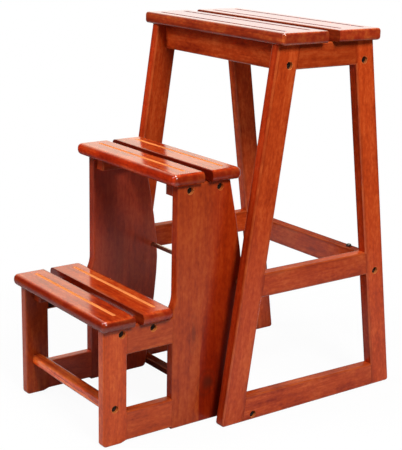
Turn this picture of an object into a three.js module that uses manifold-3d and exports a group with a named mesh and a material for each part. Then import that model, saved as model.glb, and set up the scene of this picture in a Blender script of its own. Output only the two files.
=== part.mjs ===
// A wooden step stool with three steps. The seat is the top step and stands on two A-shaped side frames.
// The two lower steps are one unit, which turns on a steel rod and folds up between the frames.
// Sizes are millimetres. X runs from left to right, Y from front to back and Z up.
// Y counts from the front edge of the seat until the last lines, which centre the stool on its footprint.

import * as THREE from 'three';
import { mergeVertices } from 'three/addons/utils/BufferGeometryUtils.js';
import Module from 'manifold-3d';

// Seat
const seatHeight = 660;
const seatLength = 400;
const seatDepth = 213;
const seatThick = 20;
const seatGap = 24;
const seatEdgeRadius = 5;
const seatCornerRadius = 6;
const seatGrooveSpacing = 51;

// Side frames: two legs and three rails each
const seatOverhang = 17.5;
const frameThick = 20;
const frontLegSet = 6;
const frontLegSplay = 94;
const frontLegWidth = 44.5;
const rearLegSet = 2;
const rearLegSplay = 91;
const rearLegWidth = 42;
const topRailHeight = 42;
const middleRailRise = 7.5;
const middleRailHeight = 42;
const bottomRailFrontHeight = 46;
const bottomRailRearHeight = 42;
const frontFootRadius = 5;
const rearFootRadius = 5;
const frameEdgeRadius = 3;

// Cross members between the side frames
const crossEdgeRadius = 2.5;
const apronThick = 19;
const apronHeight = 44;
const frontApronSet = 22;
const rearApronSet = 12.5;
const frontApronBoltShift = -3;
const rearApronBoltShift = 2;
const apronBoltRise = 9.5;
const rearStretcherThick = 20;
const rearStretcherHeight = 41;
const rearStretcherSet = 15;
const rearStretcherBoltShift = 5;
const rearStretcherBoltRise = 11;
const bottomStretcherThick = 20;
const bottomStretcherHeight = 12;
const bottomStretcherLift = 2;
const bottomStretcherSet = 50;
const bottomStretcherBoltShift = 6;
const bottomStretcherBoltRise = 7.5;

// Steel rod that the step unit turns on, its spacers and the rubber stops of the folded unit
const pivotHeight = 240;
const pivotSet = 24;
const rodDiameter = 8;
const rodSocketDepth = 14;
const spacerDiameter = 12.5;
const bumperDiameter = 10;
const bumperHeight = 5;
const bumperStemDiameter = 5;
const bumperStemDepth = 7;
const bumperTopRadius = 3.5;
const bumperInset = 46;
const bumperSet = 10;

// Step unit: two side panels, each a stile, two rails and a tall upright
const treadSideGap = 9;
const treadOverhang = 14;
const panelThick = 18;
const panelEdgeRadius = 3;
const lowerTreadHeight = 221;
const upperTreadHeight = 441;
const upperTreadReach = 173.5;
const stileSet = 9;
const stileWidth = 44.5;
const treadBackGap = 6;
const uprightSet = 17.5;
const uprightTopRearSet = 14;
const flareBase = 12;
const flareHeight = 23;
const flareDepth = 6;
const bellyBehindPivot = 11;
const bellyBelowPivot = 25;
const bellyLowerReach = 47;
const bellyUpperReach = 60;
const heelBeforePivot = 14.5;
const heelRadius = 8;
const toeRadius = 6;
const archRise = 3.5;
const archRamp = 11;
const panelUpperRailHeight = 47.5;
const panelLowerRailTop = 55;

// Treads, cleats and front rail of the step unit
const treadThick = 20;
const slatWidth = 60;
const treadGap = 16;
const treadEdgeRadius = 8;
const treadCornerRadius = 9;
const treadGrooveShift = 5;
const cleatWidth = 25;
const cleatHeight = 23;
const cleatLength = 98;
const cleatEdgeRadius = 2;
const lowerCleatShift = 5.5;
const upperCleatShift = 3.5;
const frontRailThick = 19;
const frontRailHeight = 20;
const frontRailTop = 74;
const frontRailSet = 12;
const frontRailRadius = 6;

// Grooves in the treads, and the eased edges along the gaps between slats
const grooveWidth = 7;
const grooveDepth = 2.2;
const grooveEndMargin = 22;
const slatLipRadius = 2;

// Bolts of the side frames and screws of the step unit, sunk in round recesses.
// Both have a hexagonal drive in the head.
const boltHead = 12;
const boltHeadHeight = 3;
const boltShank = 5;
const boltRecess = 8;
const boltReach = 30;
const screwHead = 12;
const screwHeadHeight = 2.5;
const screwShank = 4.5;
const screwRecess = 8;
const screwReach = 15;
const cleatScrewInset = 19;
const pointLength = 2;
const driveWidth = 5;
const driveDepth = 1.8;
const driveSides = 6;

// Clearances
const jointLine = 0.3;
const fitGap = 0.3;
const runningGap = 0.4;
const holeSpare = 1;
const overrun = 10;

// Faces along a rounding or a circle
const roundingSteps = 3;
const curveSteps = 4;
const recessSides = 16;
const fastenerSides = 12;
const rodSides = 20;

const woodColor = 0xb04c26;
const panelColor = 0x993d1d;
const treadColor = 0xb8562c;
const steelColor = 0xb8a888;
const fastenerColor = 0x2b2422;
const nylonColor = 0x5a3128;
const rubberColor = 0x45403c;

// Places that follow from the sizes above
const frameTop = seatHeight - seatThick;
const frameInner = seatLength / 2 - seatOverhang - frameThick;
const treadLength = 2 * (frameInner - treadSideGap);
const panelOuter = treadLength / 2 - treadOverhang;
const panelInner = panelOuter - panelThick;
const pivotY = frontLegEdge(pivotHeight) + pivotSet;
const bellyHeight = pivotHeight - bellyBelowPivot;
const rearStretcherTop = 2 * pivotHeight - lowerTreadHeight - fitGap - bumperHeight;
const middleRailTop = rearStretcherTop + middleRailRise;
const lowerPanelTop = lowerTreadHeight - treadThick;
const upperPanelTop = upperTreadHeight - treadThick;
const treadDepth = 2 * slatWidth + treadGap;
const upperTreadY = treadDepth / 2 - upperTreadReach;
const uprightFront = uprightSet - upperTreadReach;
const uprightFoot = uprightFront - flareDepth;
const lowerTreadY = uprightFoot - treadBackGap - treadDepth / 2;
const stileFront = lowerTreadY - treadDepth / 2 + stileSet;
const stileBack = stileFront + stileWidth;

const wasm = await Module();
wasm.setup();

// Front edge of the front legs at a height: they lean forward on their way down.
function frontLegEdge(z) {
  return frontLegSet - frontLegSplay * (frameTop - z) / frameTop;
}

// Rear edge of the rear legs at a height: they lean backward on their way down.
function rearLegEdge(z) {
  return seatDepth - rearLegSet + rearLegSplay * (frameTop - z) / frameTop;
}

// Edges of the legs that face each other, where the rails are glued in.
function frontLegBack(z) {
  return frontLegEdge(z) + frontLegWidth;
}

function rearLegFront(z) {
  return rearLegEdge(z) - rearLegWidth;
}

// A closed solid from a geometry: only its places are kept, and triangles without area are left out.
function solid(geometry) {
  const bare = geometry.clone();
  bare.deleteAttribute('normal');
  bare.deleteAttribute('uv');
  const merged = mergeVertices(bare);
  const triangles = [];
  for (let i = 0; i < merged.index.count; i += 3) {
    const [a, b, c] = [merged.index.getX(i), merged.index.getX(i + 1), merged.index.getX(i + 2)];
    if (a !== b && b !== c && c !== a) triangles.push(a, b, c);
  }
  return new wasm.Manifold(new wasm.Mesh({
    numProp: 3,
    vertProperties: merged.attributes.position.array,
    triVerts: new Uint32Array(triangles),
  }));
}

function geometryOf(body) {
  const mesh = body.getMesh();
  const geometry = new THREE.BufferGeometry();
  geometry.setAttribute('position', new THREE.BufferAttribute(mesh.vertProperties, 3));
  geometry.setIndex(new THREE.BufferAttribute(mesh.triVerts, 1));
  geometry.computeVertexNormals();
  return geometry;
}

function cut(body, cutters) {
  return cutters.reduce((rest, cutter) => rest.subtract(cutter), body);
}

// Adds one named piece to a group.
function addPiece(group, name, body, material, x = 0, y = 0, z = 0) {
  const mesh = new THREE.Mesh(geometryOf(body), material);
  mesh.name = name;
  mesh.position.set(x, y, z);
  group.add(mesh);
  return mesh;
}

function lacqueredWood(color) {
  return new THREE.MeshStandardMaterial({ color, roughness: 0.35, metalness: 0 });
}

function metal(color) {
  return new THREE.MeshStandardMaterial({ color, roughness: 0.4, metalness: 0.9 });
}

function softPlastic(color) {
  return new THREE.MeshStandardMaterial({ color, roughness: 0.7, metalness: 0 });
}

// An outline of straight edges. A corner is a pair of places and may name a radius that rounds it.
function cornered(corners) {
  const shape = new THREE.Shape();
  corners.forEach(([a, b, radius = 0], i) => {
    const corner = new THREE.Vector2(a, b);
    const last = new THREE.Vector2(...corners.at(i - 1)).sub(corner).normalize();
    const next = new THREE.Vector2(...corners[(i + 1) % corners.length]).sub(corner).normalize();
    const half = Math.acos(last.dot(next)) / 2;
    const start = last.clone().multiplyScalar(radius / Math.tan(half)).add(corner);
    if (i === 0) shape.moveTo(start.x, start.y);
    else shape.lineTo(start.x, start.y);
    if (radius > 0) {
      const middle = last.clone().add(next).setLength(radius / Math.sin(half)).add(corner);
      const end = next.clone().multiplyScalar(radius / Math.tan(half)).add(corner);
      const from = start.sub(middle).angle();
      const to = end.sub(middle).angle();
      shape.absarc(middle.x, middle.y, radius, from, to, false);
    }
  });
  shape.closePath();
  return shape;
}

// A rectangle about the origin, with its corners rounded.
function rectangle(width, height, radius = 0) {
  const [x, y] = [width / 2, height / 2];
  return cornered([[-x, -y, radius], [x, -y, radius], [x, y, radius], [-x, y, radius]]);
}

// An outline given a thickness about the plane that it is drawn in, with its edges rounded.
function board(shape, thick, rounding = 0) {
  const geometry = new THREE.ExtrudeGeometry(shape, {
    depth: thick - 2 * rounding,
    bevelEnabled: rounding > 0,
    bevelThickness: rounding,
    bevelSize: rounding,
    bevelOffset: -rounding,
    bevelSegments: roundingSteps,
    curveSegments: curveSteps,
    steps: 1,
  });
  return geometry.translate(0, 0, rounding - thick / 2);
}

// A board whose outline is drawn in Y and Z, as the stool is seen from its right side.
function sideBoard(shape, thick, rounding = 0) {
  const standing = new THREE.Matrix4().makeBasis(
    new THREE.Vector3(0, 1, 0),
    new THREE.Vector3(0, 0, 1),
    new THREE.Vector3(1, 0, 0),
  );
  return solid(board(shape, thick, rounding).applyMatrix4(standing));
}

// A round hole along X between two places.
function hole(diameter, from, to, y, z, sides = fastenerSides) {
  const geometry = new THREE.CylinderGeometry(diameter / 2, diameter / 2, Math.abs(to - from), sides);
  return solid(geometry.rotateZ(Math.PI / 2).translate((from + to) / 2, y, z));
}

// The recess and the through hole of a sunk fastener, in a board that stands about X = 0.
function sunkHole(side, thick, head, recess, shank, y, z) {
  const face = thick / 2;
  const wide = hole(head + 2 * fitGap, side * (face + overrun), side * (face - recess), y, z, recessSides);
  const narrow = hole(shank + 2 * fitGap, side * face, -side * (face + overrun), y, z);
  return wide.add(narrow);
}

// Holes for the fasteners in both ends of a bar that reaches from -half to half.
function endHoles(half, shank, reach, y, z) {
  return [-1, 1].map((side) =>
    hole(shank + 2 * fitGap, side * (half - reach - holeSpare), side * (half + overrun), y, z));
}

// A bolt or screw, turned about Y with the underside of its head at the origin.
function fastener(head, headHeight, shank, length) {
  const profile = [
    [0, -length],
    [shank / 4, -length],
    [shank / 2, pointLength - length],
    [shank / 2, 0],
    [head / 2, 0],
    [head / 2, headHeight],
    [0, headHeight],
  ];
  const turned = new THREE.LatheGeometry(profile.map(([r, y]) => new THREE.Vector2(r, y)), fastenerSides);
  const drive = new THREE.CylinderGeometry(driveWidth / 2, driveWidth / 2, driveDepth + overrun, driveSides);
  drive.translate(0, headHeight + (overrun - driveDepth) / 2, 0);
  return solid(turned).subtract(solid(drive));
}

// A fastener driven inward from the outer face of a side, its head on the floor of the recess.
function addFastener(group, name, body, side, x, y, z) {
  addPiece(group, name, body, metal(fastenerColor), side * x, y, z).rotation.z = -side * Math.PI / 2;
}

// A bar along X whose section has rounded edges.
function crossBar(length, thick, height, radius) {
  return sideBoard(rectangle(thick, height, radius), length);
}

// Two slats of one step: an outline with rounded corners and edges, grooved along X,
// and parted by a gap with eased lips. The top face lies at Z = 0.
function slats(length, depth, thick, gap, edgeRadius, cornerRadius, grooves) {
  const plan = rectangle(length, depth, cornerRadius);
  const blank = solid(board(plan, thick, edgeRadius).translate(0, 0, -thick / 2));
  const radius = (grooveWidth ** 2 / 4 + grooveDepth ** 2) / (2 * grooveDepth);
  const run = length - 2 * (grooveEndMargin + radius);
  const groove = new THREE.CapsuleGeometry(radius, run, curveSteps, recessSides).rotateZ(Math.PI / 2);
  const cutters = grooves.map((y) => solid(groove.clone().translate(0, y, radius - grooveDepth)));
  const grooved = cut(blank, cutters);
  return {
    front: grooved.subtract(slatCutter(length, depth, thick, -gap / 2, 1)),
    rear: grooved.subtract(slatCutter(length, depth, thick, gap / 2, -1)),
  };
}

// All that lies beyond one edge of the gap: a slat cut by it keeps an edge with eased lips.
function slatCutter(length, depth, thick, edge, away) {
  const lip = edge - away * slatLipRadius;
  const far = away * (depth / 2 + overrun);
  const [right, quarter] = away > 0 ? [0, Math.PI / 2] : [Math.PI, Math.PI / 2];
  const shape = new THREE.Shape();
  shape.moveTo(far, overrun);
  shape.lineTo(lip, overrun);
  shape.lineTo(lip, 0);
  shape.absarc(lip, -slatLipRadius, slatLipRadius, quarter, right, away > 0);
  shape.lineTo(edge, slatLipRadius - thick);
  shape.absarc(lip, slatLipRadius - thick, slatLipRadius, right, -quarter, away > 0);
  shape.lineTo(lip, -thick - overrun);
  shape.lineTo(far, -thick - overrun);
  shape.closePath();
  return sideBoard(shape, length + 2 * overrun);
}

// Cross members, with the place of the bolt that enters each end.
const crossMembers = [
  {
    name: 'front_apron',
    thick: apronThick,
    height: apronHeight,
    y: frontApronSet + apronThick / 2,
    z: frameTop - apronHeight / 2,
    boltShift: frontApronBoltShift,
    boltRise: apronBoltRise,
  },
  {
    name: 'rear_apron',
    thick: apronThick,
    height: apronHeight,
    y: seatDepth - rearApronSet - apronThick / 2,
    z: frameTop - apronHeight / 2,
    boltShift: rearApronBoltShift,
    boltRise: apronBoltRise,
  },
  {
    name: 'rear_stretcher',
    thick: rearStretcherThick,
    height: rearStretcherHeight,
    y: rearLegEdge(rearStretcherTop - rearStretcherHeight / 2) - rearStretcherSet - rearStretcherThick / 2,
    z: rearStretcherTop - rearStretcherHeight / 2,
    boltShift: rearStretcherBoltShift,
    boltRise: rearStretcherBoltRise,
  },
  {
    name: 'bottom_stretcher',
    thick: bottomStretcherThick,
    height: bottomStretcherHeight,
    y: frontLegEdge(0) + bottomStretcherSet + bottomStretcherThick / 2,
    z: bottomStretcherLift + bottomStretcherHeight / 2,
    boltShift: bottomStretcherBoltShift,
    boltRise: bottomStretcherBoltRise,
  },
];
for (const member of crossMembers) {
  member.boltY = member.y + member.boltShift;
  member.boltZ = member.z - member.height / 2 + member.boltRise;
}

// The whole side frame in one piece: an A with two windows, rounded along every edge.
function frameBlank(side) {
  const shape = cornered([
    [frontLegEdge(0), 0, frontFootRadius],
    [rearLegEdge(0), 0, rearFootRadius],
    [rearLegEdge(frameTop), frameTop],
    [frontLegEdge(frameTop), frameTop],
  ]);
  const upperWindow = [middleRailTop, middleRailTop, frameTop - topRailHeight];
  const middleRailBottom = middleRailTop - middleRailHeight;
  const lowerWindow = [bottomRailFrontHeight, bottomRailRearHeight, middleRailBottom];
  for (const [frontSill, rearSill, head] of [upperWindow, lowerWindow]) {
    shape.holes.push(cornered([
      [frontLegBack(frontSill), frontSill],
      [rearLegFront(rearSill), rearSill],
      [rearLegFront(head), head],
      [frontLegBack(head), head],
    ]));
  }
  const face = frameThick / 2;
  const rodSocket = hole(
    rodDiameter + 2 * fitGap, -side * (face + overrun), side * (rodSocketDepth - face),
    pivotY, pivotHeight, rodSides);
  const boltHoles = crossMembers.map((member) =>
    sunkHole(side, frameThick, boltHead, boltRecess, boltShank, member.boltY, member.boltZ));
  return cut(sideBoard(shape, frameThick, frameEdgeRadius), [rodSocket, ...boltHoles]);
}

// The boards that the side frame is made of: each is the part of the blank inside its own field.
function addSideFrame(group, sideName, side) {
  const sideFrame = new THREE.Group();
  sideFrame.position.x = side * (frameInner + frameThick / 2);
  group.add(sideFrame);
  const blank = frameBlank(side);
  const line = jointLine / 2;
  const [bottom, top] = [-overrun, frameTop + overrun];
  const middleRailBottom = middleRailTop - middleRailHeight;
  const upperMiddle = (middleRailTop + frameTop - topRailHeight) / 2;
  const lowerMiddle = (bottomRailFrontHeight + middleRailBottom) / 2;
  const railField = (low, high) => [
    [frontLegBack(low) + line, low],
    [rearLegFront(low) - line, low],
    [rearLegFront(high) - line, high],
    [frontLegBack(high) + line, high],
  ];
  const fields = {
    front_leg: [
      [frontLegEdge(bottom) - overrun, bottom],
      [frontLegBack(bottom) - line, bottom],
      [frontLegBack(top) - line, top],
      [frontLegEdge(top) - overrun, top],
    ],
    rear_leg: [
      [rearLegFront(bottom) + line, bottom],
      [rearLegEdge(bottom) + overrun, bottom],
      [rearLegEdge(top) + overrun, top],
      [rearLegFront(top) + line, top],
    ],
    top_rail: railField(upperMiddle, top),
    middle_rail: railField(lowerMiddle, upperMiddle),
    bottom_rail: railField(bottom, lowerMiddle),
  };
  for (const [name, field] of Object.entries(fields)) {
    const part = blank.intersect(sideBoard(cornered(field), frameThick + 2 * overrun));
    addPiece(sideFrame, `${sideName}_${name}`, part, lacqueredWood(woodColor));
  }
  const bolt = fastener(boltHead, boltHeadHeight, boltShank, frameThick - boltRecess + boltReach);
  for (const member of crossMembers) {
    const name = `${sideName}_${member.name}_bolt`;
    addFastener(sideFrame, name, bolt, side, frameThick / 2 - boltRecess, member.boltY, member.boltZ);
  }
}

// Cross members, bored in both ends for the bolts. The rear stretcher also carries the rubber stops.
function addCrossMembers(group) {
  for (const member of crossMembers) {
    const boltHoles = endHoles(frameInner, boltShank, boltReach, member.boltShift, member.boltZ - member.z);
    const bar = crossBar(2 * frameInner, member.thick, member.height, crossEdgeRadius);
    const bumperHoles = member.name === 'rear_stretcher' ? [-1, 1].map(bumperHole) : [];
    const body = cut(bar, [...boltHoles, ...bumperHoles]);
    addPiece(group, member.name, body, lacqueredWood(woodColor), 0, member.y, member.z);
  }
}

// The hole for the stem of a rubber stop, seen from the middle of the stretcher's section.
function bumperHole(side) {
  const depth = bumperStemDepth + holeSpare;
  const radius = bumperStemDiameter / 2 + fitGap;
  const geometry = new THREE.CylinderGeometry(radius, radius, depth + overrun, fastenerSides);
  const y = bumperSet - rearStretcherThick / 2;
  const z = rearStretcherHeight / 2 + (overrun - depth) / 2;
  return solid(geometry.rotateX(Math.PI / 2).translate(side * (frameInner - bumperInset), y, z));
}

// Rubber stops on the rear stretcher. The lower tread lies on them, upside down, when the unit is folded.
function addBumpers(group) {
  const radius = bumperDiameter / 2;
  const shoulder = bumperHeight - bumperTopRadius;
  const profile = new THREE.Path();
  profile.moveTo(0, -bumperStemDepth);
  profile.lineTo(bumperStemDiameter / 2, -bumperStemDepth);
  profile.lineTo(bumperStemDiameter / 2, 0);
  profile.lineTo(radius, 0);
  profile.lineTo(radius, shoulder);
  profile.absarc(radius - bumperTopRadius, shoulder, bumperTopRadius, 0, Math.PI / 2, false);
  profile.lineTo(0, bumperHeight);
  const turned = new THREE.LatheGeometry(profile.getPoints(roundingSteps), fastenerSides);
  const body = solid(turned.rotateX(Math.PI / 2));
  const stretcher = crossMembers.find((member) => member.name === 'rear_stretcher');
  const y = stretcher.y - rearStretcherThick / 2 + bumperSet;
  for (const [sideName, side] of [['left', -1], ['right', 1]]) {
    const x = side * (frameInner - bumperInset);
    addPiece(group, `${sideName}_bumper`, body, softPlastic(rubberColor), x, y, rearStretcherTop);
  }
}

// The steel rod in the front legs, and the spacers that keep the step unit in the middle.
function addPivot(group) {
  const rodLength = 2 * (frameInner + rodSocketDepth - holeSpare);
  const rod = new THREE.CylinderGeometry(rodDiameter / 2, rodDiameter / 2, rodLength, rodSides);
  addPiece(group, 'pivot_rod', solid(rod.rotateZ(Math.PI / 2)), metal(steelColor), 0, pivotY, pivotHeight);
  const [inner, outer] = [rodDiameter / 2 + fitGap, spacerDiameter / 2];
  const spacerLength = frameInner - panelOuter - runningGap;
  const half = spacerLength / 2;
  const ring = [[inner, -half], [outer, -half], [outer, half], [inner, half], [inner, -half]];
  const points = ring.map(([r, y]) => new THREE.Vector2(r, y));
  const spacer = solid(new THREE.LatheGeometry(points, rodSides).rotateZ(Math.PI / 2));
  for (const [sideName, side] of [['left', -1], ['right', 1]]) {
    const x = side * (frameInner - half);
    addPiece(group, `${sideName}_pivot_spacer`, spacer, softPlastic(nylonColor), x, pivotY, pivotHeight);
  }
}

function addSeat(group) {
  const middle = (seatDepth + seatGap) / 4;
  const grooves = [-middle, middle].flatMap((y) => [y - seatGrooveSpacing / 2, y + seatGrooveSpacing / 2]);
  const { front, rear } = slats(
    seatLength, seatDepth, seatThick, seatGap, seatEdgeRadius, seatCornerRadius, grooves);
  addPiece(group, 'seat_front_slat', front, lacqueredWood(treadColor), 0, seatDepth / 2, seatHeight);
  addPiece(group, 'seat_rear_slat', rear, lacqueredWood(treadColor), 0, seatDepth / 2, seatHeight);
}

// The outline of a step unit's side panel: a toe, an arched foot, a heel, a curved back edge,
// and a front edge that flares out to meet the lower tread.
function panelShape() {
  const belly = pivotY + bellyBehindPivot;
  const heel = pivotY - heelBeforePivot;
  const heelShare = heelRadius / (bellyHeight - bellyLowerReach);
  const topRear = upperTreadY + treadDepth / 2 - uprightTopRearSet;
  const shape = new THREE.Shape();
  shape.moveTo(stileFront + toeRadius, 0);
  shape.lineTo(stileBack - archRamp, 0);
  shape.lineTo(stileBack, archRise);
  shape.lineTo(uprightFoot, archRise);
  shape.lineTo(uprightFoot, 0);
  shape.lineTo(heel - heelRadius, 0);
  shape.quadraticCurveTo(heel, 0, heel + heelShare * (belly - heel), heelRadius);
  shape.quadraticCurveTo(belly, bellyHeight - bellyLowerReach, belly, bellyHeight);
  shape.quadraticCurveTo(belly, bellyHeight + bellyUpperReach, topRear, upperPanelTop);
  shape.lineTo(uprightFront, upperPanelTop);
  shape.lineTo(uprightFront, lowerPanelTop + flareBase + flareHeight);
  const flareMiddle = lowerPanelTop + flareBase + flareHeight / 2;
  shape.quadraticCurveTo(uprightFront, flareMiddle, uprightFoot, lowerPanelTop + flareBase);
  shape.lineTo(uprightFoot, lowerPanelTop);
  shape.lineTo(stileFront, lowerPanelTop);
  shape.lineTo(stileFront, toeRadius);
  shape.absarc(stileFront + toeRadius, toeRadius, toeRadius, Math.PI, 1.5 * Math.PI, false);
  const railBottom = lowerPanelTop - panelUpperRailHeight;
  shape.holes.push(cornered([
    [stileBack, panelLowerRailTop],
    [uprightFoot, panelLowerRailTop],
    [uprightFoot, railBottom],
    [stileBack, railBottom],
  ]));
  return shape;
}

const cleats = [
  { name: 'lower_cleat', y: lowerTreadY + lowerCleatShift, z: lowerPanelTop - cleatHeight / 2 },
  { name: 'upper_cleat', y: upperTreadY + upperCleatShift, z: upperPanelTop - cleatHeight / 2 },
];
const cleatScrewShift = cleatLength / 2 - cleatScrewInset;
const cleatScrews = [['front', -cleatScrewShift], ['rear', cleatScrewShift]];
const frontRail = {
  y: stileFront + frontRailSet + frontRailThick / 2,
  z: frontRailTop - frontRailHeight / 2,
};

// Places of the screws in a side panel.
const panelScrews = cleats.flatMap((cleat) => cleatScrews.map(([end, shift]) => (
  { name: `${cleat.name}_${end}_screw`, y: cleat.y + shift, z: cleat.z }
)));
panelScrews.push({ name: 'front_rail_screw', ...frontRail });

function addSidePanel(group, sideName, side) {
  const panel = new THREE.Group();
  panel.position.x = side * (panelOuter - panelThick / 2);
  group.add(panel);
  const face = panelThick / 2;
  const rodHole = hole(
    rodDiameter + 2 * runningGap, -face - overrun, face + overrun, pivotY, pivotHeight, rodSides);
  const screwHoles = panelScrews.map(({ y, z }) =>
    sunkHole(side, panelThick, screwHead, screwRecess, screwShank, y, z));
  const blank = cut(sideBoard(panelShape(), panelThick, panelEdgeRadius), [rodHole, ...screwHoles]);
  const line = jointLine / 2;
  const windowMiddle = (panelLowerRailTop + lowerPanelTop - panelUpperRailHeight) / 2;
  const field = (front, rear, low, high) => (
    cornered([[front, low], [rear, low], [rear, high], [front, high]])
  );
  const [bottom, top, back] = [-overrun, upperPanelTop + overrun, pivotY + bellyBehindPivot + overrun];
  const fields = {
    stile: field(stileFront - overrun, stileBack - line, bottom, top),
    upper_rail: field(stileBack + line, uprightFoot - line, windowMiddle, top),
    lower_rail: field(stileBack + line, uprightFoot - line, bottom, windowMiddle),
    upright: field(uprightFoot + line, back, bottom, top),
  };
  for (const [name, shape] of Object.entries(fields)) {
    const part = blank.intersect(sideBoard(shape, panelThick + 2 * overrun));
    addPiece(panel, `${sideName}_panel_${name}`, part, lacqueredWood(panelColor));
  }
  const screw = fastener(screwHead, screwHeadHeight, screwShank, panelThick - screwRecess + screwReach);
  for (const { name, y, z } of panelScrews) {
    addFastener(panel, `${sideName}_${name}`, screw, side, panelThick / 2 - screwRecess, y, z);
  }
}

// Cleats on the inner faces of the panels, under the ends of the treads.
function addCleats(group, sideName, side) {
  const block = sideBoard(rectangle(cleatLength, cleatHeight), cleatWidth, cleatEdgeRadius);
  const face = side * cleatWidth / 2;
  const bottom = face - side * (screwReach + holeSpare);
  const holes = cleatScrews.map(([, shift]) =>
    hole(screwShank + 2 * fitGap, bottom, face + side * overrun, shift, 0));
  const body = cut(block, holes);
  for (const { name, y, z } of cleats) {
    const x = side * (panelInner - cleatWidth / 2);
    addPiece(group, `${sideName}_${name}`, body, lacqueredWood(panelColor), x, y, z);
  }
}

// The rounded rail across the front of the step unit.
function addFrontRail(group) {
  const bar = crossBar(2 * panelInner, frontRailThick, frontRailHeight, frontRailRadius);
  const holes = endHoles(panelInner, screwShank, screwReach, 0, 0);
  addPiece(group, 'step_front_rail', cut(bar, holes), lacqueredWood(woodColor), 0, frontRail.y, frontRail.z);
}

function addTreads(group) {
  const middle = (slatWidth + treadGap) / 2;
  const grooves = [treadGrooveShift - middle, treadGrooveShift + middle];
  const { front, rear } = slats(
    treadLength, treadDepth, treadThick, treadGap, treadEdgeRadius, treadCornerRadius, grooves);
  const treads = [['lower', lowerTreadY, lowerTreadHeight], ['upper', upperTreadY, upperTreadHeight]];
  for (const [name, y, z] of treads) {
    addPiece(group, `${name}_tread_front_slat`, front, lacqueredWood(treadColor), 0, y, z);
    addPiece(group, `${name}_tread_rear_slat`, rear, lacqueredWood(treadColor), 0, y, z);
  }
}

const stand = new THREE.Group();
addSeat(stand);
addSideFrame(stand, 'left', -1);
addSideFrame(stand, 'right', 1);
addCrossMembers(stand);
addBumpers(stand);
addPivot(stand);

const stepUnit = new THREE.Group();
addTreads(stepUnit);
addSidePanel(stepUnit, 'left', -1);
addSidePanel(stepUnit, 'right', 1);
addCleats(stepUnit, 'left', -1);
addCleats(stepUnit, 'right', 1);
addFrontRail(stepUnit);

// The origin lies on the floor, under the middle of the stool.
const stool = new THREE.Group();
stool.add(stand, stepUnit);
const bounds = new THREE.Box3().setFromObject(stool);
stool.position.y = -(bounds.min.y + bounds.max.y) / 2;

export default stool;
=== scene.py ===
# A folding step stool in red-brown lacquered wood: a slatted seat on two A-shaped side frames, and a unit
# with two lower steps that folds up between them on a steel rod. Lengths are in metres, Z is up.

import math

import bmesh
import bpy
from mathutils import Matrix, Vector


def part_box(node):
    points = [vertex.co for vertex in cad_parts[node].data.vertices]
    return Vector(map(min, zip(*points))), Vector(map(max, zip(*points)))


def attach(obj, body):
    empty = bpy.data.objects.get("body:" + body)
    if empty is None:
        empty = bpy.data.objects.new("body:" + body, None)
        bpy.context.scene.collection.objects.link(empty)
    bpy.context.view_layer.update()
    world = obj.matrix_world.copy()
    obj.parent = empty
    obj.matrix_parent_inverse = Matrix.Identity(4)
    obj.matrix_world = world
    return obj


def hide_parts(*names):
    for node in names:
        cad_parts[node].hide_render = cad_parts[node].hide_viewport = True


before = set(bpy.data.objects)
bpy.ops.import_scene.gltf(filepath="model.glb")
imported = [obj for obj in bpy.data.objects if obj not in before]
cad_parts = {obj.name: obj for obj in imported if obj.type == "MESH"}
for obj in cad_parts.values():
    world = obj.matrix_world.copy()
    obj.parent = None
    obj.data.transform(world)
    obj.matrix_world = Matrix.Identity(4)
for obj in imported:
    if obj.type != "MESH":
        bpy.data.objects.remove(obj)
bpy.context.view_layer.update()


# Camera
# It stands at the front right corner of the stool, a little above the seat, and looks down at the steps.
# Place, turn and lens were solved so that the stool's edges and corners fall where the photo has them.
camera_place = (1.65188, -1.21229, 0.86091)
camera_turn = math.radians(53.308)
camera_dip = math.radians(15.949)
camera_roll = math.radians(1.405)
photo_height = 450
lens_pixels = 1191.55
sensor_side = 36
axis_right_pixels = 10.97
axis_down_pixels = 14.35

toward = Vector((
    -math.sin(camera_turn) * math.cos(camera_dip),
    math.cos(camera_turn) * math.cos(camera_dip),
    -math.sin(camera_dip),
))
level = Vector((math.cos(camera_turn), math.sin(camera_turn), 0))
above = level.cross(toward)
rolled_level = level * math.cos(camera_roll) + above * math.sin(camera_roll)
rolled_above = above * math.cos(camera_roll) - level * math.sin(camera_roll)
camera_data = bpy.data.cameras.new("photo_camera")
camera_data.sensor_width = sensor_side
camera_data.lens = lens_pixels * sensor_side / photo_height
camera_data.shift_x = -axis_right_pixels / photo_height
camera_data.shift_y = axis_down_pixels / photo_height
camera = bpy.data.objects.new("photo_camera", camera_data)
bpy.context.scene.collection.objects.link(camera)
turned = Matrix((rolled_level, rolled_above, -toward)).transposed().to_4x4()
camera.matrix_world = Matrix.Translation(camera_place) @ turned
bpy.context.scene.camera = camera


# Side frames
# Each is an A of two leaning legs and three rails: 20 mm boards glued edge to edge, then shaped and rounded
# as one, stained red-brown and sprayed with gloss lacquer. A dark border along the edges of each board is
# partly stain gathered there and partly painted shade on the rounded edges.
def feed(tree, socket, value):
    """Links another node's output to a socket, or sets a plain value on it."""
    if isinstance(value, bpy.types.NodeSocket):
        tree.links.new(value, socket)
    else:
        socket.default_value = value


def add_node(tree, kind, inputs=None, **settings):
    node = tree.nodes.new("ShaderNode" + kind)
    for name, value in settings.items():
        setattr(node, name, value)
    for name, value in (inputs or {}).items():
        feed(tree, node.inputs[name], value)
    return node


def math_node(tree, operation, *values):
    return add_node(tree, "Math", dict(enumerate(values)), operation=operation).outputs["Value"]


def vector_node(tree, operation, *values, result="Vector"):
    return add_node(tree, "VectorMath", dict(enumerate(values)), operation=operation).outputs[result]


def mixed_color(tree, share, first, second, blend="MIX"):
    node = add_node(tree, "Mix", data_type="RGBA", blend_type=blend)
    for name, value in (("Factor", share), ("A", first), ("B", second)):
        feed(tree, next(s for s in node.inputs if s.name == name and s.enabled), value)
    return next(s for s in node.outputs if s.enabled)


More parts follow.
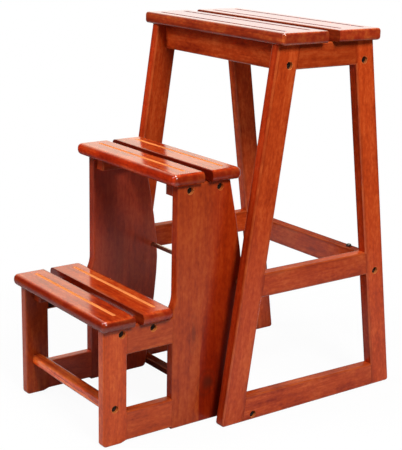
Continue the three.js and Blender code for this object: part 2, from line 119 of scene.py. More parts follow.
def ranged(tree, value, low, high, to_low=0.0, to_high=1.0, easing="SMOOTHSTEP"):
    """Maps the range from low to high onto the one from to_low to to_high, and stops at its ends."""
    inputs = {"Value": value, "From Min": low, "From Max": high, "To Min": to_low, "To Max": to_high}
    return add_node(tree, "MapRange", inputs, interpolation_type=easing).outputs["Result"]


def linear(tree, value, *limits):
    return ranged(tree, value, *limits, easing="LINEAR")


def soft_noise(tree, place, scale, detail=3.0):
    return add_node(tree, "TexNoise", {"Vector": place, "Scale": scale, "Detail": detail}).outputs["Fac"]


def new_group(name, inputs, outputs):
    group = bpy.data.node_groups.new(name, "ShaderNodeTree")
    kinds = {"vector": "NodeSocketVector", "color": "NodeSocketColor", "float": "NodeSocketFloat"}
    for title, kind in inputs:
        group.interface.new_socket(title, in_out="INPUT", socket_type=kinds[kind])
    for title, kind in outputs:
        group.interface.new_socket(title, in_out="OUTPUT", socket_type=kinds[kind])
    return group, group.nodes.new("NodeGroupInput").outputs, group.nodes.new("NodeGroupOutput").inputs


def use_group(tree, group, inputs):
    return add_node(tree, "Group", inputs, node_tree=group).outputs


def build_wood_figure():
    """Grain, growth rings, pores and clouds of stain on one board whose grain runs along X."""
    group, given, result = new_group(
        "wood figure",
        [("Place", "vector"), ("Deep", "color"), ("Middle", "color"), ("Light", "color"), ("Tone and shade", "float"),
         ("Blotches", "float"), ("Streaks", "float"), ("Rings", "float"), ("End grain", "float")],
        [("Color", "color"), ("Roughness", "float"), ("Height", "float")],
    )
    fine_line_share = 0.35
    fine_line_relief = 0.35
    speckle_share = 0.7
    ring_stretch = (0.22, 1, 1)
    pore_limits = (0.66, 0.74)
    pore_darkness = 0.4
    end_darkness = 0.55
    streak_limits = (0.3, 0.7)
    streak_roughness = (0.5, 0.4)

    def stretched_noise(along, across, detail, roughness):
        scaled = vector_node(group, "MULTIPLY", given["Place"], (along, across, across))
        inputs = {"Vector": scaled, "Scale": 1.0, "Detail": detail, "Roughness": roughness}
        return add_node(group, "TexNoise", inputs).outputs["Fac"]

    def swing(figure, share):
        """How far a figure is from its middle, times its share in the board's tone."""
        return math_node(group, "MULTIPLY", math_node(group, "SUBTRACT", figure, 0.5), share)

    streaks = stretched_noise(along=3.2, across=75, detail=5, roughness=0.62)
    fine_lines = stretched_noise(along=16, across=520, detail=3, roughness=0.6)
    pores = stretched_noise(along=130, across=1900, detail=2, roughness=0.5)
    blotches = stretched_noise(along=13, across=30, detail=5, roughness=0.65)
    speckle = stretched_noise(along=110, across=210, detail=2, roughness=0.6)
    rings = add_node(group, "TexWave", {
        "Vector": vector_node(group, "MULTIPLY", given["Place"], ring_stretch),
        "Scale": 26, "Distortion": 5.5, "Detail": 2, "Detail Scale": 1.3,
    }, wave_type="RINGS", rings_direction="X", wave_profile="SAW").outputs["Fac"]

    lines = math_node(group, "ADD", swing(streaks, given["Streaks"]), swing(fine_lines, fine_line_share))
    lines = math_node(group, "ADD", lines, swing(rings, given["Rings"]))
    patches = math_node(group, "ADD", swing(blotches, given["Blotches"]), swing(speckle, speckle_share))
    tone = math_node(group, "ADD", math_node(group, "ADD", lines, patches), 0.5)
    color = mixed_color(group, linear(group, tone, 0.0, 0.5), given["Deep"], given["Middle"])
    color = mixed_color(group, linear(group, tone, 0.5, 1.0), color, given["Light"])
    pore_mask = ranged(group, pores, *pore_limits)
    color = mixed_color(group, math_node(group, "MULTIPLY", pore_mask, pore_darkness), color, given["Deep"])
    end_mask = math_node(group, "MULTIPLY", given["End grain"], end_darkness)
    color = mixed_color(group, end_mask, color, given["Deep"])
    # The tone scales the colour, and carries painted light and shade by facing.
    toned = add_node(group, "VectorMath", {0: color, "Scale": given["Tone and shade"]}, operation="SCALE")
    feed(group, result["Color"], toned.outputs["Vector"])
    feed(group, result["Roughness"], ranged(group, streaks, *streak_limits, *streak_roughness))
    raised = math_node(group, "MULTIPLY", fine_lines, fine_line_relief)
    feed(group, result["Height"], math_node(group, "SUBTRACT", raised, pore_mask))
    return group


wood_figure = build_wood_figure()


def build_thin_stain_and_highlight():
    """Paler colour where a mask says so, in uneven patches: stain that is thinner there, and on rounded
    edges also a painted highlight.
    """
    group, given, result = new_group(
        "thin stain and highlight",
        [("Color", "color"), ("Pale color", "color"), ("Mask", "float"), ("Place", "vector"),
         ("Amount", "float"), ("Least share", "float")],
        [("Color", "color")],
    )
    patch_scale = 38.0
    patch_limits = (0.35, 0.65)
    uneven = soft_noise(group, given["Place"], patch_scale)
    patchy = ranged(group, uneven, *patch_limits, given["Least share"], 1.0)
    share = math_node(group, "MULTIPLY", given["Mask"], patchy)
    share = math_node(group, "MULTIPLY", share, given["Amount"])
    feed(group, result["Color"], mixed_color(group, share, given["Color"], given["Pale color"]))
    return group


thin_stain_and_highlight = build_thin_stain_and_highlight()


def build_by_facing():
    """One number for the sides of a board, one for its front and back, and one for its top."""
    group, given, result = new_group(
        "by facing",
        [("Normal", "vector"), ("Side", "float"), ("Front", "float"), ("Top", "float")],
        [("Value", "float")],
    )
    side_limits = (0.55, 0.85)
    top_limits = (0.55, 0.9)
    parts = add_node(group, "SeparateXYZ", {0: given["Normal"]}).outputs
    sideways = ranged(group, math_node(group, "ABSOLUTE", parts["X"]), *side_limits)
    upward = ranged(group, parts["Z"], *top_limits)
    upright = linear(group, sideways, 0.0, 1.0, given["Front"], given["Side"])
    feed(group, result["Value"], linear(group, upward, 0.0, 1.0, upright, given["Top"]))
    return group


by_facing = build_by_facing()


def build_edge_stain_and_shade():
    """Stain that gathers along the long edges of a board, together with painted shade on their roundings: a
    soft dark border on each of its faces.
    """
    group, given, result = new_group(
        "edge stain and shade",
        [("Place", "vector"), ("Low", "vector"), ("High", "vector"), ("Flat", "float"), ("Reach", "float")],
        [("Mask", "float")],
    )
    waver_scale = 30.0
    waver_limits = (0.3, 0.7)
    reach_shares = (0.4, 1.6)
    flat_limits = (0.4, 0.8)
    from_low = vector_node(group, "SUBTRACT", given["Place"], given["Low"])
    to_high = vector_node(group, "SUBTRACT", given["High"], given["Place"])
    nearest = vector_node(group, "MINIMUM", from_low, to_high)
    parts = add_node(group, "SeparateXYZ", {0: nearest}).outputs
    waver = linear(group, soft_noise(group, given["Place"], waver_scale), *waver_limits, *reach_shares)
    reach = math_node(group, "MULTIPLY", given["Reach"], waver)
    across = ranged(group, parts["Y"], 0.0, reach, 1.0, 0.0)
    through = ranged(group, parts["Z"], 0.0, reach, 1.0, 0.0)
    feed(group, result["Mask"], linear(group, given["Flat"], *flat_limits, through, across))
    return group


edge_stain_and_shade = build_edge_stain_and_shade()

open_grain = (0.85, 0.29, 0.08, 1)
# Painted shade in the fastener recesses.
recess_painted_shade = (0.02, 0.006, 0.003, 1)
border_reach = 0.008
border_darkness = 0.75
end_grain_limits = (0.7, 0.95)
least_edge_share = 0.35
groove_amount = 0.95
least_groove_share = 0.8
groove_coat_share = 0.2
bump_strength = 0.12
bump_height = 0.0004


def grain_turn(grain):
    """The rotation that lays a board's grain along X."""
    along = Vector(grain).normalized()
    across = Vector((1, 0, 0)) if abs(along.x) < 0.5 else Vector((0, 0, 1))
    side = across.cross(along).normalized()
    return Matrix((along, side, along.cross(side)))


def board_finish(node, stain, grain, sawn_at, tones_and_shade, coats, rings=0.12, blotches=1.0, streaks=0.5,
                 shade=0.55, worn_and_highlight=0.5, groove_color=open_grain, front_shade_tint=None):
    """Stained and lacquered wood for one board, sawn from its own place in a log. The tones are the board's
    own tone with painted light and shade on its sides, front and top; the coats are those of its sides,
    front and top."""
    material = bpy.data.materials.new(node)
    material.use_nodes = True
    tree = material.node_tree
    shader = tree.nodes["Principled BSDF"]
    turn = grain_turn(grain)
    coordinates = add_node(tree, "TexCoord").outputs
    place = add_node(tree, "Mapping", {
        "Vector": coordinates["Object"], "Rotation": turn.to_euler(), "Location": sawn_at,
    }).outputs["Vector"]

    def share_along(direction):
        """How squarely the surface faces along a direction, either way."""
        faced = vector_node(tree, "DOT_PRODUCT", coordinates["Normal"], direction, result="Value")
        return math_node(tree, "ABSOLUTE", faced)

    def faced_value(side, front, top):
        return use_group(tree, by_facing, {
            "Normal": coordinates["Normal"], "Side": side, "Front": front, "Top": top})["Value"]

    def face_mask(title):
        return add_node(tree, "Attribute", attribute_name=title).outputs["Fac"]

    deep, middle, light = stain["colors"]
    # Each facing gets its own tone: painted light and shade on the sides, front and top.
    figure = use_group(tree, wood_figure, {
        "Place": place, "Deep": deep, "Middle": middle, "Light": light, "Tone and shade": faced_value(*tones_and_shade),
        "Blotches": blotches, "Streaks": streaks, "Rings": rings,
        "End grain": ranged(tree, share_along(Vector(grain).normalized()), *end_grain_limits),
    })
    turned_places = [turn @ v.co + Vector(sawn_at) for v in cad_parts[node].data.vertices]
    border_stain_and_shade = use_group(tree, edge_stain_and_shade, {
        "Place": place, "Reach": border_reach, "Flat": share_along(turn[2]),
        "Low": [min(p[axis] for p in turned_places) for axis in range(3)],
        "High": [max(p[axis] for p in turned_places) for axis in range(3)],
    })["Mask"]
    # Dark border along the board's edges: gathered stain and painted shade on the rounded edges.
    border_color = tuple(value * border_darkness for value in deep[:3]) + (1,)
    color = mixed_color(tree, math_node(tree, "MULTIPLY", border_stain_and_shade, shade), figure["Color"], border_color)
    # Front faces are tinted darker and redder: painted shade.
    if front_shade_tint:
        color = mixed_color(tree, faced_value(0.0, 1.0, 0.0), color, front_shade_tint, "MULTIPLY")
    edge = face_mask("edge")
    groove = face_mask("groove")
    # Rounded edges are paler: stain worn thin there, and a painted highlight along them.
    color = use_group(tree, thin_stain_and_highlight, {
        "Color": color, "Pale color": light, "Mask": edge, "Place": place,
        "Amount": worn_and_highlight, "Least share": least_edge_share,
    })["Color"]
    color = use_group(tree, thin_stain_and_highlight, {
        "Color": color, "Pale color": groove_color, "Mask": groove, "Place": place,
        "Amount": groove_amount, "Least share": least_groove_share,
    })["Color"]
    # The floors of the recesses round the heads are painted near black: painted shade.
    feed(tree, shader.inputs["Base Color"], mixed_color(tree, face_mask("recess"), color, recess_painted_shade))
    feed(tree, shader.inputs["Roughness"], figure["Roughness"])
    bump = add_node(tree, "Bump", {
        "Height": figure["Height"], "Strength": bump_strength, "Distance": bump_height})
    feed(tree, shader.inputs["Normal"], bump.outputs["Normal"])
    coat = math_node(tree, "MAXIMUM", faced_value(*coats), edge)
    coat = math_node(tree, "MULTIPLY", coat, linear(tree, groove, 0.0, 1.0, 1.0, groove_coat_share))
    feed(tree, shader.inputs["Coat Weight"], coat)
    shader.inputs["Coat IOR"].default_value = stain["coat_ior"]
    shader.inputs["Coat Roughness"].default_value = stain["coat_roughness"]
    shader.inputs["Specular IOR Level"].default_value = 0.0
    return material


fastener_nodes = [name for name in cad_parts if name.endswith(("_bolt", "_screw"))]
recess_axes = []
for fastener in fastener_nodes:
    low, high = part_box(fastener)
    recess_axes.append(((low + high) / 2, (high.z - low.z) / 2))


def recess_share(point):
    """A point's distance from the axis of the nearest fastener on its side, in radii of that one's head."""
    return min(math.hypot(point.y - axis.y, point.z - axis.z) / radius
               for axis, radius in recess_axes if axis.x * point.x >= 0)


board_ease = 0.0005
eased_all_over = ("_bolt", "_screw", "_bumper", "_rod", "_spacer")
weld_reach = 1e-5
flat_angle = math.radians(0.5)
eased_angle = math.radians(50)
crease_angle = math.radians(40)
rim_shares = (0.95, 1.12)
recess_reach = 1.2
sunk_depth = 0.001
slant_least = 0.2
rounding_width = 0.0022
cut_rim_share = 0.6


def is_rim(edge):
    return all(rim_shares[0] < recess_share(v.co) < rim_shares[1] for v in edge.verts)


def finished_mesh(node, ease, groove_test):
    """The node's own solid with the rims of its recesses eased, or all edges of a small metal, nylon or
    rubber part, and with masks for rounded edges, grooves and recesses."""
    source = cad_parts[node].data
    mesh = bpy.data.meshes.new(node + "_finished")
    shape = bmesh.new()
    corners = [shape.verts.new(v.co) for v in source.vertices]
    for polygon in source.polygons:
        try:
            shape.faces.new([corners[i] for i in polygon.vertices])
        except ValueError:
            continue
    bmesh.ops.remove_doubles(shape, verts=shape.verts, dist=weld_reach)
    bmesh.ops.dissolve_limit(
        shape, angle_limit=flat_angle, verts=shape.verts, edges=shape.edges, delimit={"NORMAL"})
    sharp = [e for e in shape.edges if e.is_manifold and e.calc_face_angle(0) > eased_angle]
    if not node.endswith(eased_all_over):
        sharp = [e for e in sharp if is_rim(e)]
    if sharp:
        bmesh.ops.bevel(shape, geom=sharp, offset=ease, offset_type="OFFSET", segments=2, profile=0.5,
                        affect="EDGES", clamp_overlap=True)
    bmesh.ops.recalc_face_normals(shape, faces=shape.faces)
    outer_side = max(abs(v.co.x) for v in shape.verts)
    edge_layer = shape.faces.layers.float.new("edge")
    groove_layer = shape.faces.layers.float.new("groove")
    recess_layer = shape.faces.layers.float.new("recess")
    for edge in shape.edges:
        edge.smooth = not edge.is_manifold or edge.calc_face_angle(0) < crease_angle
    for face in shape.faces:
        face.smooth = True
        middle = face.calc_center_median()
        slanted = sum(1 for value in face.normal if abs(value) > slant_least) > 1
        slim = face.calc_area() < rounding_width * max(e.calc_length() for e in face.edges)
        rounded = slanted and slim
        sunk = outer_side - abs(middle.x) > sunk_depth
        face[edge_layer] = 1.0 if rounded else 0.0
        if node not in fastener_nodes and recess_share(middle) < recess_reach and (sunk or rounded):
            face[recess_layer] = 1.0 if sunk and abs(face.normal.x) > 0.5 else 0.0
            face[groove_layer] = cut_rim_share
        if groove_test and groove_test(middle, face.normal):
            face[groove_layer] = 1.0
            face[edge_layer] = 0.0
    shape.to_mesh(mesh)
    shape.free()
    return mesh


def finished_piece(node, body, material, ease=board_ease, groove_test=None):
    piece = bpy.data.objects.new(node + "_finished", finished_mesh(node, ease, groove_test))
    bpy.context.scene.collection.objects.link(piece)
    piece.data.materials.append(material)
    soft = piece.modifiers.new("soft normals", "WEIGHTED_NORMAL")
    soft.mode = "FACE_AREA"
    soft.weight = 100
    soft.keep_sharp = True
    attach(piece, body)
    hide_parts(node)


frame_stain = {
    "colors": ((0.21, 0.012, 0.002, 1), (0.44, 0.048, 0.007, 1), (0.63, 0.118, 0.025, 1)),
    "coat_ior": 1.35,
    "coat_roughness": 0.15,
}
frame_coats = (0.75, 0.6, 0.3)
streak_contrast = 0.6
# Painted shade: a darker, redder tint on the front faces of some boards.
front_painted_shade = (1, 0.72, 0.72, 1)
front_shaded = ("right_front_leg", "right_rear_leg", "left_front_leg")
front_leg_grain = (0, 94, 640)
rear_leg_grain = (0, -91, 640)
rail_grain = (0, 1, 0)
frame_heart_distance = 0.05
# Board, grain, place in the log, contrast, and its tones at the left and at the right, with painted light
# and shade on its sides, front and top
frame_boards = [
    ("front_leg", front_leg_grain, 0.0, 0.6, (0.88, 1.3, 1.1), (1.03, 1.1, 1.1)),
    ("rear_leg", rear_leg_grain, 0.31, 0.65, (1.28, 1.25, 1.1), (1.19, 1.08, 1.1)),
    ("top_rail", rail_grain, 0.57, 0.6, (0.82, 0.8, 0.8), (0.8, 0.8, 0.8)),
    ("middle_rail", rail_grain, 0.83, 1.1, (1.1, 1.0, 1.2), (0.94, 1.0, 1.25)),
    ("bottom_rail", rail_grain, 1.21, 1.3, (1.0, 1.0, 1.05), (1.04, 1.0, 1.05)),
]
for side, log_place in (("left", 3.1), ("right", 0.0)):
    for board, grain, board_place, contrast, left_tones_and_shade, right_tones_and_shade in frame_boards:
        node = f"{side}_{board}"
        finish = board_finish(
            node, frame_stain, grain, (log_place, board_place, frame_heart_distance + board_place),
            left_tones_and_shade if side == "left" else right_tones_and_shade, frame_coats,
            blotches=contrast, streaks=streak_contrast * contrast,
            front_shade_tint=front_painted_shade if node in front_shaded else None)
        finished_piece(node, "stand", finish)


# Cross members
# Two aprons under the seat, a low bar between the front feet, and the stretcher behind that carries the
# rubber stops: flat bars with eased edges, bolted through the side frames into their ends.
bar_grain = (1, 0, 0)
bar_heart_distance = 0.2
# Bar, place in the log, tones with painted light and shade on sides, front and top, and coats
cross_bars = [
    ("front_apron", 5.9, (1.25, 1.26, 1.25), (0.75, 0.9, 0.3)),
    ("rear_apron", 6.1, (1.0, 1.0, 1.0), (0.75, 0.8, 0.3)),
    ("rear_stretcher", 7.7, (1.1, 1.12, 1.05), (0.75, 1.0, 0.1)),
    ("bottom_stretcher", 8.9, (0.5, 0.37, 0.37), (0.75, 0.75, 0.05)),
]
for node, log_place, tones_and_shade, coats in cross_bars:
    finish = board_finish(node, frame_stain, bar_grain, (log_place, bar_heart_distance, log_place),
                          tones_and_shade, coats, blotches=1.4, streaks=0.9)
    finished_piece(node, "stand", finish)


# Bolts of the side frames
# Blackened steel furniture bolts through the side frames into the ends of the cross members. Each head is
# sunk in a round recess and has a hexagon socket.
def plain_finish(name, color, roughness, metallic):
    """A finish of one colour with fine darker and duller grime on it."""
    grime_scale = 260.0
    grime_limits = (0.35, 0.65)
    grime_darkness = 0.6
    dull_limits = (0.3, 0.7)
    grime_dullness = 0.1
    material = bpy.data.materials.new(name)
    material.use_nodes = True
    tree = material.node_tree
    shader = tree.nodes["Principled BSDF"]
    place = add_node(tree, "TexCoord").outputs["Object"]
    grime = soft_noise(tree, place, grime_scale, detail=4.0)
    dark = tuple(value * grime_darkness for value in color[:3]) + (1,)
    grimy = mixed_color(tree, ranged(tree, grime, *grime_limits), dark, color)
    feed(tree, shader.inputs["Base Color"], grimy)
    dulled = ranged(tree, grime, *dull_limits, roughness + grime_dullness, roughness)
    feed(tree, shader.inputs["Roughness"], dulled)
    shader.inputs["Metallic"].default_value = metallic
    return material


fastener_ease = 0.0003
fastener_finish = plain_finish("blackened_steel", (0.035, 0.028, 0.022, 1), roughness=0.45, metallic=0.8)
for side in ("left", "right"):
    for bar in ("front_apron", "rear_apron", "rear_stretcher", "bottom_stretcher"):
        finished_piece(f"{side}_{bar}_bolt", "stand", fastener_finish, fastener_ease)


# Seat
# Two slats across the side frames, with rounded ends and long edges, and two stopped grooves in each. The
# grooves are darker than the slats, and the coat is the glossiest of all.
def in_groove(node):
    """A test that tells the faces of a slat's grooves, a little below its top, from all its others."""
    ends = 0.02
    long_edges = 0.009
    depth = 0.0025
    skim = 0.00002
    upturn = 0.05
    low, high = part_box(node)

    def test(centre, normal):
        inside = (low.x + ends < centre.x < high.x - ends
                  and low.y + long_edges < centre.y < high.y - long_edges)
        return inside and high.z - depth < centre.z < high.z - skim and normal.z > upturn
    return test


seat_stain = {
    "colors": ((0.20, 0.013, 0.004, 1), (0.45, 0.050, 0.011, 1), (0.72, 0.165, 0.030, 1)),
    "coat_ior": 1.5,
    "coat_roughness": 0.1,
}
shaded_grain = (0.14, 0.010, 0.004, 1)
slat_heart_distance = 0.3
# Slat, place in the log, tones with painted light and shade on sides, front and top, and coats
seat_slats = [
    ("seat_front_slat", 10.3, (0.88, 1.02, 0.9), (1.0, 0.9, 1.0)),
    ("seat_rear_slat", 11.9, (1.15, 0.58, 1.15), (0.6, 0.1, 1.0)),
]
for node, log_place, tones_and_shade, coats in seat_slats:
    finish = board_finish(node, seat_stain, bar_grain, (log_place, slat_heart_distance, log_place),
                          tones_and_shade, coats, blotches=1.4, streaks=1.5, worn_and_highlight=0.25, groove_color=shaded_grain)
    finished_piece(node, "stand", finish, groove_test=in_groove(node))


# Rubber stops
# Two small domes of grey rubber on the rear stretcher, pushed into holes by their stems. The lower tread
# comes to rest on them when the steps are folded up.
stop_ease = 0.0003
rubber_finish = plain_finish("stop_rubber", (0.09, 0.08, 0.07, 1), roughness=0.4, metallic=0.0)
for side in ("left", "right"):
    finished_piece(f"{side}_bumper", "stand", rubber_finish, stop_ease)


# Steel rod and spacers
# A bright drawn rod through both panels, with its ends in blind holes in the front legs. A spacer of brown
# nylon on it keeps each panel clear of its leg.
rod_ease = 0.0004
rod_finish = plain_finish("drawn_steel", (0.62, 0.56, 0.46, 1), roughness=0.28, metallic=1.0)
finished_piece("pivot_rod", "stand", rod_finish, rod_ease)
spacer_finish = plain_finish("brown_nylon", (0.42, 0.11, 0.05, 1), roughness=0.3, metallic=0.0)
for side in ("left", "right"):
    finished_piece(f"{side}_pivot_spacer", "stand", spacer_finish, rod_ease)


# Side panels of the step unit
# A stile, two short rails and a tall upright, glued and shaped as one 18 mm panel. The upright is itself
# glued from two boards, with a few knots. On the right the rear board is darker and redder towards the
# floor:
# partly its own colour, partly painted shade near the leg and the floor. On the left the front board is
# painted darker and the rear one lighter, as painted shade and light on the panel's inner face.
def build_knot():
    """A knot: dark in the middle, with a few rings round it that fade into the grain."""
    group, given, result = new_group(
        "knot", [("Place", "vector"), ("Centre", "vector"), ("Half size", "vector")], [("Mask", "float")])
    waver_scale = 1.4
    waver_share = 0.5
    core_limits = (0.35, 0.95)
    core_strength = 0.85
    ring_limits = (0.5, 1.6)
    ring_strength = 0.45
    ring_pitch = 14.0
    dark_wave = (-0.4, 1.0)
    from_centre = vector_node(group, "SUBTRACT", given["Place"], given["Centre"])
    scaled = vector_node(group, "DIVIDE", from_centre, given["Half size"])
    waver = math_node(group, "MULTIPLY", soft_noise(group, scaled, waver_scale), waver_share)
    uneven = math_node(group, "ADD", vector_node(group, "LENGTH", scaled, result="Value"), waver)
    core = ranged(group, uneven, *core_limits, core_strength, 0.0)
    waves = math_node(group, "SINE", math_node(group, "MULTIPLY", uneven, ring_pitch))
    fading = ranged(group, uneven, *ring_limits, ring_strength, 0.0)
    rings = math_node(group, "MULTIPLY", ranged(group, waves, *dark_wave), fading)
    feed(group, result["Mask"], math_node(group, "MAXIMUM", core, rings))
    return group


knot = build_knot()
knot_color = (0.07, 0.012, 0.006, 1)
# Centre, half size and strength of each knot
right_knots = [
    ((0.1395, -0.119, 0.162), (0.03, 0.0115, 0.042), 0.6),
    ((0.1395, -0.088, 0.069), (0.03, 0.026, 0.028), 0.9),
]
left_knots = [((-0.1395, -0.092, 0.118), (0.03, 0.008, 0.018), 0.7)]
# Tints of the front board, and of the rear board high up and near the floor: the boards' own colours with
# painted shade and light in them
right_tints = ((1, 0.98, 0.98, 1), (0.94, 0.6, 0.4, 1), (0.62, 0.27, 0.2, 1))
left_tints = ((0.6, 0.6, 0.68, 1), (1, 1.05, 1.1, 1), (0.9, 0.85, 0.75, 1))
seam_y = -0.1053
sharp_seam_y = seam_y + 0.001
blurred_seam_y = seam_y + 0.045
seam_heights = (0.12, 0.3)
darkening_heights = (0.06, 0.36)


def add_upright_figure(material, knots, tints):
    """Two boards of different red, whose tints also hold painted shade and light, with a seam between them
    that blurs upwards, and knots.
    """
    tree = material.node_tree
    target = tree.nodes["Principled BSDF"].inputs["Base Color"]
    color = target.links[0].from_socket
    place = add_node(tree, "TexCoord").outputs["Object"]
    parts = add_node(tree, "SeparateXYZ", {0: place}).outputs
    front_shade_tint, upper_tint, lower_tint = tints
    lower = ranged(tree, parts["Z"], *darkening_heights, 1.0, 0.0)
    seam_end = linear(tree, parts["Z"], *seam_heights, sharp_seam_y, blurred_seam_y)
    rear_board = ranged(tree, parts["Y"], seam_y, seam_end)
    rear_tint = mixed_color(tree, lower, upper_tint, lower_tint)
    # Tints of the two boards, with painted shade and light in them.
    color = mixed_color(tree, 1.0, color, mixed_color(tree, rear_board, front_shade_tint, rear_tint), "MULTIPLY")
    for centre, half_size, strength in knots:
        mask = use_group(tree, knot, {"Place": place, "Centre": centre, "Half size": half_size})["Mask"]
        color = mixed_color(tree, math_node(tree, "MULTIPLY", mask, strength), color, knot_color)
    feed(tree, target, color)


panel_stain = {
    "colors": ((0.17, 0.011, 0.002, 1), (0.40, 0.047, 0.006, 1), (0.57, 0.118, 0.021, 1)),
    "coat_ior": 1.35,
    "coat_roughness": 0.28,
}
# A browner, darker copy of the panel stain, as painted shade, for the left panel's boards other than its
# stile, whose inner faces lie in shade.
shaded_panel_stain = {
    "colors": ((0.16, 0.014, 0.006, 1), (0.38, 0.042, 0.014, 1), (0.52, 0.092, 0.028, 1)),
    "coat_ior": 1.4,
    "coat_roughness": 0.3,
}
upright_grain = (0, 0, 1)
panel_heart_distance = 0.07
# Board, grain, place in the log, coats, and its tones at the left and at the right, with painted light and
# shade on its sides, front and top
panel_boards = [
    ("stile", upright_grain, 0.0, (1.0, 0.8, 0.6), (1.05, 1.24, 1.0), (1.25, 1.85, 1.2)),
    ("upper_rail", rail_grain, 0.43, (1.0, 0.8, 0.6), (0.95, 1.0, 1.0), (0.93, 1.0, 1.0)),
    ("lower_rail", rail_grain, 0.79, (1.0, 0.8, 0.9), (1.15, 1.2, 1.5), (1.06, 1.0, 0.9)),
    ("upright", upright_grain, 1.13, (0.9, 0.4, 0.6), (1.45, 1.7, 1.0), (0.91, 1.0, 1.0)),
]
for side, log_place in (("left", 14.2), ("right", 17.4)):
    for board, grain, board_place, coats, left_tones_and_shade, right_tones_and_shade in panel_boards:
        node = f"{side}_panel_{board}"
        finish = board_finish(
            node, shaded_panel_stain if side == "left" and board != "stile" else panel_stain, grain,
            (log_place, board_place, panel_heart_distance + board_place),
            left_tones_and_shade if side == "left" else right_tones_and_shade, coats,
            streaks=0.3, blotches=0.9, shade=0.12, worn_and_highlight=0.15,
            front_shade_tint=front_painted_shade if node == "right_panel_upright" else None)
        if node == "left_panel_upright":
            add_upright_figure(finish, left_knots, left_tints)
        if node == "right_panel_upright":
            add_upright_figure(finish, right_knots, right_tints)
        finished_piece(node, "step_unit", finish)


# Cleats
# Blocks of the same wood, screwed to the inner faces of the panels under the ends of the treads. Their
# fronts are painted paler than the panels, as painted light.
cleat_heart_distance = 0.4
cleat_coats = (0.7, 0.7, 0.7)
for side, log_place, front_painted_light in (("left", 20.1, 2.0), ("right", 21.3, 1.4)):
    for step in ("lower", "upper"):
        node = f"{side}_{step}_cleat"
        finish = board_finish(node, panel_stain, rail_grain, (log_place, cleat_heart_distance, log_place),
                              (1.0, front_painted_light, 1.0), cleat_coats)
        finished_piece(node, "step_unit", finish)


# Front rail
# A rounded rail across the front between the stiles, screwed through them. Its front is painted lighter and
# its top darker, as painted light and shade, and its front shows golden streaks where the stain is thin.
front_rail_stain = {
    "colors": ((0.22, 0.012, 0.003, 1), (0.72, 0.072, 0.010, 1), (0.98, 0.21, 0.035, 1)),
    "coat_ior": 1.4,
    "coat_roughness": 0.15,
}
front_rail_finish = board_finish(
    "step_front_rail", front_rail_stain, bar_grain, (23.0, 0.1, 0.6),
    tones_and_shade=(1.0, 1.35, 0.66), coats=(0.5, 0.8, 0.05), rings=0.5, streaks=2.4, shade=0.6, worn_and_highlight=0.1)
finished_piece("step_front_rail", "step_unit", front_rail_finish)


# Treads of the step unit
# Two slats each, rounded more than the seat, with one stopped groove in each slat. The cutter has gone
# through the stain there, so that the grooves are pale.
tread_stain = {
    "colors": ((0.21, 0.010, 0.003, 1), (0.48, 0.040, 0.005, 1), (0.72, 0.130, 0.022, 1)),
    "coat_ior": 1.5,
    "coat_roughness": 0.17,
}
# Slat, place in the log, tones with painted light and shade on sides, front and top, and coats
tread_slats = [
    ("lower_tread_front_slat", 25.3, (0.49, 0.58, 0.93), (0.78, 0.45, 1.0)),
    ("lower_tread_rear_slat", 26.9, (0.87, 0.48, 1.0), (0.6, 0.7, 0.88)),
    ("upper_tread_front_slat", 28.4, (0.7, 1.2, 1.0), (0.3, 0.2, 1.0)),
    ("upper_tread_rear_slat", 29.5, (0.72, 0.3, 0.96), (0.5, 0.6, 1.0)),
]
for node, log_place, tones_and_shade, coats in tread_slats:
    finish = board_finish(node, tread_stain, bar_grain, (log_place, slat_heart_distance, log_place),
                          tones_and_shade, coats, blotches=1.4, streaks=1.3, worn_and_highlight=0.05, front_shade_tint=front_painted_shade)
    finished_piece(node, "step_unit", finish, groove_test=in_groove(node))


# Screws of the step unit
# Two through each panel into each cleat, and one into each end of the front rail. They have the same
# blackened finish and hexagon sockets as the bolts, a size smaller.
screw_places = (
    "lower_cleat_front", "lower_cleat_rear", "upper_cleat_front", "upper_cleat_rear", "front_rail")
for side in ("left", "right"):
    for screw_place in screw_places:
        node = f"{side}_{screw_place}_screw"
        finished_piece(node, "step_unit", fastener_finish, fastener_ease)


# Floor
# A white studio floor. It takes a soft shadow near the stool and runs out into plain white. In the
# lacquer's reflections it carries a painted pool of light: bright near the stool's feet and behind the
# stool, and dim elsewhere.
white = (1, 1, 1, 1)
matt_white = (0.9, 0.9, 0.9, 1)
dim_bounce = (0.26, 0.25, 0.24, 1)
wall_side = (-0.78, 0.62, 0.0)
floor_reach = 12
near_distances = (0.4, 1.8)
near_brightness = (0.95, 0.1)
behind_limits = (0.4, 0.8)
behind_brightness = (0.0, 0.95)
fade_distances = (0.35, 0.9)
whiteness_range = (0.95, 1.0)
floor_mesh = bpy.data.meshes.new("studio_floor")
floor_mesh.from_pydata(
    [(-floor_reach, -floor_reach, 0), (floor_reach, -floor_reach, 0),
     (floor_reach, floor_reach, 0), (-floor_reach, floor_reach, 0)], [], [(0, 1, 2, 3)])
floor = bpy.data.objects.new("studio_floor", floor_mesh)
bpy.context.scene.collection.objects.link(floor)
floor_finish = bpy.data.materials.new("studio_floor")
floor_finish.use_nodes = True
floor_tree = floor_finish.node_tree
floor_tree.nodes.clear()
floor_path = add_node(floor_tree, "LightPath").outputs
floor_place = add_node(floor_tree, "TexCoord").outputs["Object"]
away = vector_node(floor_tree, "LENGTH", floor_place, result="Value")
rearward = vector_node(floor_tree, "DOT_PRODUCT", floor_place, wall_side, result="Value")
rearward_share = math_node(floor_tree, "DIVIDE", rearward, away)
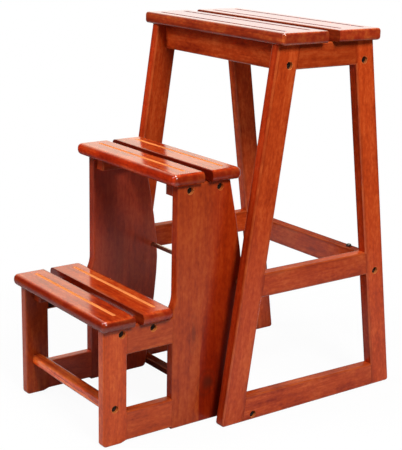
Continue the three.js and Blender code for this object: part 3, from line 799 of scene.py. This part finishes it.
# Painted pool of light, seen only in reflections: bright near the stool and behind it.
bright_near = ranged(floor_tree, away, *near_distances, *near_brightness)
bright_behind = ranged(floor_tree, rearward_share, *behind_limits, *behind_brightness)
mirrored = math_node(floor_tree, "MAXIMUM", bright_near, bright_behind)
pale = mixed_color(floor_tree, floor_path["Is Diffuse Ray"], matt_white, dim_bounce)
pale = mixed_color(floor_tree, floor_path["Is Glossy Ray"], pale, mirrored)
fade = ranged(floor_tree, away, *fade_distances)
whiteness = ranged(floor_tree, fade, 0.0, 1.0, *whiteness_range)
seen_white = math_node(floor_tree, "MULTIPLY", floor_path["Is Camera Ray"], whiteness)
matt = add_node(floor_tree, "BsdfDiffuse", {"Color": pale}).outputs["BSDF"]
glowing = add_node(floor_tree, "Emission", {"Color": white, "Strength": 1.0}).outputs["Emission"]
floor_mix = add_node(floor_tree, "MixShader", {0: seen_white, 1: matt, 2: glowing}).outputs["Shader"]
add_node(floor_tree, "OutputMaterial", {"Surface": floor_mix})
floor_mesh.materials.append(floor_finish)


# Background
# Plain white where the camera sees it, and dim grey as light on the stool. The lacquer also reflects a pale
# wall behind the stool, warmer above, and a small bright ceiling light.
soft_grey = (0.24, 0.24, 0.25, 1)
dark_room = (0.05, 0.05, 0.05, 1)
wall_below = (1.38, 1.36, 1.32, 1)
wall_above = (1.55, 1.38, 1.08, 1)
ceiling_light = (18, 18, 18, 1)
warmer_heights = (0.1, 0.2)
wall_limits = (0.45, 0.85)
ceiling_limits = (0.93, 0.96)
world = bpy.data.worlds.new("studio")
bpy.context.scene.world = world
world.use_nodes = True
world_tree = world.node_tree
world_tree.nodes.clear()
path = add_node(world_tree, "LightPath").outputs
direction = add_node(world_tree, "TexCoord").outputs["Generated"]
behind = vector_node(world_tree, "DOT_PRODUCT", direction, wall_side, result="Value")
height = add_node(world_tree, "SeparateXYZ", {0: direction}).outputs["Z"]
wall = mixed_color(world_tree, ranged(world_tree, height, *warmer_heights), wall_below, wall_above)
mirror = mixed_color(world_tree, ranged(world_tree, behind, *wall_limits), dark_room, wall)
mirror = mixed_color(world_tree, ranged(world_tree, height, *ceiling_limits), mirror, ceiling_light)
ambient = mixed_color(world_tree, path["Is Glossy Ray"], soft_grey, mirror)
seen = math_node(world_tree, "MAXIMUM", path["Is Camera Ray"], path["Is Transmission Ray"])
surround = mixed_color(world_tree, seen, ambient, white)
background = add_node(world_tree, "Background", {"Color": surround, "Strength": 1.0}).outputs["Background"]
add_node(world_tree, "OutputWorld", {"Surface": background})


# Lamps
# Three square studio lamps, all aimed at the middle of the stool: a soft one at its right, a weaker one at
# the front left and a faint one above.
lamp_target = (0, 0, 0.3)


def soft_lamp(name, place, size, power):
    data = bpy.data.lights.new(name, "AREA")
    data.shape = "SQUARE"
    data.size = size
    data.energy = power
    lamp = bpy.data.objects.new(name, data)
    bpy.context.scene.collection.objects.link(lamp)
    aim = Vector(lamp_target) - Vector(place)
    lamp.matrix_world = Matrix.Translation(place) @ aim.to_track_quat("-Z", "Y").to_matrix().to_4x4()


soft_lamp("key_lamp", (2.56, -0.45, 2.3), size=0.9, power=88)
soft_lamp("top_lamp", (0.3, 0.2, 2.9), size=1.3, power=9)
soft_lamp("front_lamp", (-0.8, -2.0, 2.5), size=1.1, power=42)
bpy.context.scene.view_settings.view_transform = "Standard"
